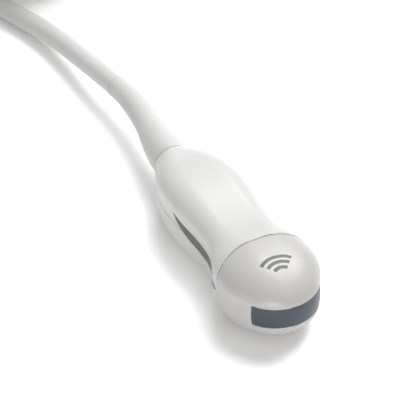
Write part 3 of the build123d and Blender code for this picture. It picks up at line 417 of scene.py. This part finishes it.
# %% Parts inside the head and the handle
make_finish("matching_resin", (0.25, 0.17, 0.08), (0.20, 0.13, 0.06), 0.55)
make_finish("piezo_ceramic", (0.48, 0.43, 0.26), (0.40, 0.36, 0.22), 0.6)
make_finish("backing_resin", (0.014, 0.014, 0.016), (0.03, 0.03, 0.033), 0.7, bump=0.05)
make_finish("film_circuit", (0.56, 0.17, 0.02), (0.45, 0.13, 0.02), 0.25, drift=(300, 0.5),
            bump=0.01, coat=0.4)
make_finish("circuit_board", (0.012, 0.10, 0.04), (0.02, 0.14, 0.06), 0.35, drift=(500, 0.8),
            bump=0.02, coat=0.3)
make_finish("coax_wire", (0.04, 0.12, 0.42), (0.06, 0.15, 0.48), 0.4)
print("finishes", len(finishes))

# %% Metals
make_finish("cast_aluminium", (0.60, 0.61, 0.63), (0.52, 0.53, 0.55), 0.45, metallic=1.0, bump=0.03,
            grain=(1800, 0.5))
make_finish("plated_steel", (0.62, 0.61, 0.58), (0.56, 0.55, 0.52), 0.26, metallic=1.0,
            gloss=(0.14, 200), bump=0.006)
make_finish("copper_foil", (0.72, 0.34, 0.19), (0.60, 0.26, 0.14), 0.34, metallic=1.0,
            drift=(150, 0.7), bump=0.03)
make_finish("crimped_brass", (0.66, 0.50, 0.20), (0.56, 0.41, 0.16), 0.32, metallic=1.0, bump=0.01)
make_finish("gold_contact", (0.82, 0.58, 0.20), (0.76, 0.52, 0.17), 0.22, metallic=1.0, bump=0.004)
print("finishes", len(finishes))

# %% [markdown]
# ## The printed mark
#
# A plain pictogram sits on top of the head, where such probes carry print: three arcs of a fan, the shape
# of the field that the array sees. It is a mask worked out from the distance and the angle about the fan's
# point, so it stays sharp at any size and needs no picture file.

# %% Fan mark
mark_x, mark_y = 71.5 * mm, 0.0
arc_pitch = 2.6 * mm
arc_count = 3
ring_threshold = 0.21        # a higher one gives thinner arcs
fan_half_angle = radians(42)
lowest_print = 18 * mm
fan_mark, source, result = new_group("fan_mark", [("Vector", "v")], [("Mask", "f")])
split = fan_mark.nodes.new("ShaderNodeSeparateXYZ")
fan_mark.links.new(source.outputs["Vector"], split.inputs[0])
across = math_node(fan_mark, "SUBTRACT", split.outputs["Y"], mark_y)
behind = math_node(fan_mark, "SUBTRACT", mark_x, split.outputs["X"])
behind_squared = math_node(fan_mark, "MULTIPLY", behind, behind)
radius = math_node(fan_mark, "SQRT", math_node(fan_mark, "MULTIPLY_ADD", across, across, behind_squared))
half_wave = 1 / 2
ripple = math_node(fan_mark, "PINGPONG", math_node(fan_mark, "DIVIDE", radius, arc_pitch), half_wave)
mask = math_node(fan_mark, "GREATER_THAN", ripple, ring_threshold)
near = math_node(fan_mark, "GREATER_THAN", radius, arc_pitch)
far = math_node(fan_mark, "LESS_THAN", radius, (arc_count + 1) * arc_pitch)
angle = math_node(fan_mark, "ARCTAN2", across, behind)
inside = math_node(fan_mark, "LESS_THAN", math_node(fan_mark, "ABSOLUTE", angle), fan_half_angle)
upper = math_node(fan_mark, "GREATER_THAN", split.outputs["Z"], lowest_print)
for limit in (near, far, inside, upper):
    mask = math_node(fan_mark, "MULTIPLY", mask, limit)
fan_mark.links.new(mask, result.inputs["Mask"])
print("group", fan_mark.name)

# %% Print on the nosepiece
ink_colour = (0.035, 0.035, 0.032, 1)
tree = finishes["nose_shell"].node_tree
place = next(node for node in tree.nodes if node.bl_idname == "ShaderNodeTexCoord").outputs["Object"]
shader = tree.nodes["Principled BSDF"]
skin_colour = shader.inputs["Base Color"].links[0].from_socket
printed = place_group(tree, fan_mark, place, {})
ink = tree.nodes.new("ShaderNodeMix")
ink.data_type = "RGBA"
ink.inputs[7].default_value = ink_colour
tree.links.new(printed.outputs[0], ink.inputs[0])
tree.links.new(skin_colour, ink.inputs[6])
tree.links.new(ink.outputs[2], shader.inputs["Base Color"])
print("printed on", finishes["nose_shell"].name)

# %% [markdown]
# ## Putting the finishes on
#
# Each solid's slot names its finish. A CAD node keeps its own mesh, so its finish is linked to the object.
# The cord takes the jacket finish.

# %% Finishes on every piece
for node, solid in frame["nodes"].items():
    for slot in solid.material_slots:
        slot.link = "OBJECT"
        slot.material = finishes[slots_of_nodes[node]]
for node, skin in skins.items():
    skin.data.materials.clear()
    skin.data.materials.append(finishes[slots_of_nodes[node]])
cord.data.materials.append(finishes["cord_jacket"])

# %% [markdown]
# ## Table and light
#
# The probe lies on a white sheet. The sheet's own colour is pale, and it is paler still for rays that come
# straight from the camera or by way of a gloss or a glass: that lifts the background and keeps the shadow.
# The Light Path node tells these rays from those that carry light to the probe.

# %% Rays that show the background
def background_rays(tree):
    """1 for camera, glossy and transmission rays, 0 for all others."""
    seen = tree.nodes.new("ShaderNodeLightPath")
    direct = math_node(tree, "MAXIMUM", seen.outputs["Is Camera Ray"], seen.outputs["Is Glossy Ray"])
    return math_node(tree, "MAXIMUM", direct, seen.outputs["Is Transmission Ray"])


# %% Table
table_size = 6
paper_tone, paper_lift = 0.9, 0.85
bpy.ops.mesh.primitive_plane_add(size=table_size)
floor = bpy.context.object
floor.name = "table"
sheet = bpy.data.materials.new("white_sheet")
sheet.use_nodes = True
tree = sheet.node_tree
tree.nodes.remove(tree.nodes["Principled BSDF"])
paper = tree.nodes.new("ShaderNodeBsdfDiffuse")
direct = background_rays(tree)
paleness = math_node(tree, "MULTIPLY_ADD", direct, paper_lift, paper_tone)
tree.links.new(paleness, paper.inputs["Color"])

# %% [markdown]
# The lamps are near, so they light the far part of the table less. There the paper fades to plain white for
# the same rays. The fade is a ring about the middle of the whole part, well outside its shadow.

# %% Far part of the table
near_reach, far_reach = 0.36, 0.56
fade_offset = (0.12, 0, 0)
place = tree.nodes.new("ShaderNodeTexCoord")
centred = tree.nodes.new("ShaderNodeMapping")
centred.inputs["Location"].default_value = fade_offset
tree.links.new(place.outputs["Object"], centred.inputs["Vector"])
reach = tree.nodes.new("ShaderNodeVectorMath")
reach.operation = "LENGTH"
tree.links.new(centred.outputs["Vector"], reach.inputs[0])
faded = tree.nodes.new("ShaderNodeMapRange")
faded.interpolation_type = "SMOOTHSTEP"
faded.inputs["From Min"].default_value = near_reach
faded.inputs["From Max"].default_value = far_reach
tree.links.new(reach.outputs["Value"], faded.inputs["Value"])
white = tree.nodes.new("ShaderNodeEmission")
to_white = tree.nodes.new("ShaderNodeMixShader")
tree.links.new(math_node(tree, "MULTIPLY", faded.outputs["Result"], direct), to_white.inputs[0])
tree.links.new(paper.outputs[0], to_white.inputs[1])
tree.links.new(white.outputs[0], to_white.inputs[2])
tree.links.new(to_white.outputs[0], tree.nodes["Material Output"].inputs["Surface"])
floor.data.materials.append(sheet)
print("stage", floor.name)

# %% [markdown]
# The world is plain white for the same rays and gives only a little fill light to the rest. The view
# transform is Standard, so a colour renders about as it is written.

# %% World
white_strength, fill_strength = 1, 0.15
world = bpy.data.worlds.new("studio")
bpy.context.scene.world = world
world.use_nodes = True
tree = world.node_tree
background = tree.nodes["Background"]
background.inputs["Color"].default_value = (1, 1, 1, 1)
strength = math_node(tree, "MULTIPLY_ADD", background_rays(tree), white_strength - fill_strength,
                     fill_strength)
tree.links.new(strength, background.inputs["Strength"])
bpy.context.scene.view_settings.view_transform = "Standard"
print("world", world.name)

# %% [markdown]
# A large soft lamp stands behind the probe and to its right in the picture, so the shadow falls to the left
# and to the front. A wide weak one hangs above, and a weak card low at the front throws light back under
# the nose.

# %% Lamps
def soft_lamp(name, place, size, watts):
    """A square soft lamp that looks at the probe."""
    bpy.ops.object.light_add(type="AREA", location=place)
    lamp = bpy.context.object
    lamp.name = name
    lamp.data.energy = watts
    lamp.data.size = size
    lamp.rotation_euler = (Vector(place) - aim_point).to_track_quat("Z", "Y").to_euler()
    print("lamp", name, "watts", watts)


soft_lamp("key_lamp", place=(-0.42, 0.60, 1.08), size=0.9, watts=15.6)
soft_lamp("top_lamp", place=(0.05, 0.1, 1.3), size=1.2, watts=2.2)
soft_lamp("front_card", place=(0.75, -0.45, 0.0), size=0.32, watts=5.2)
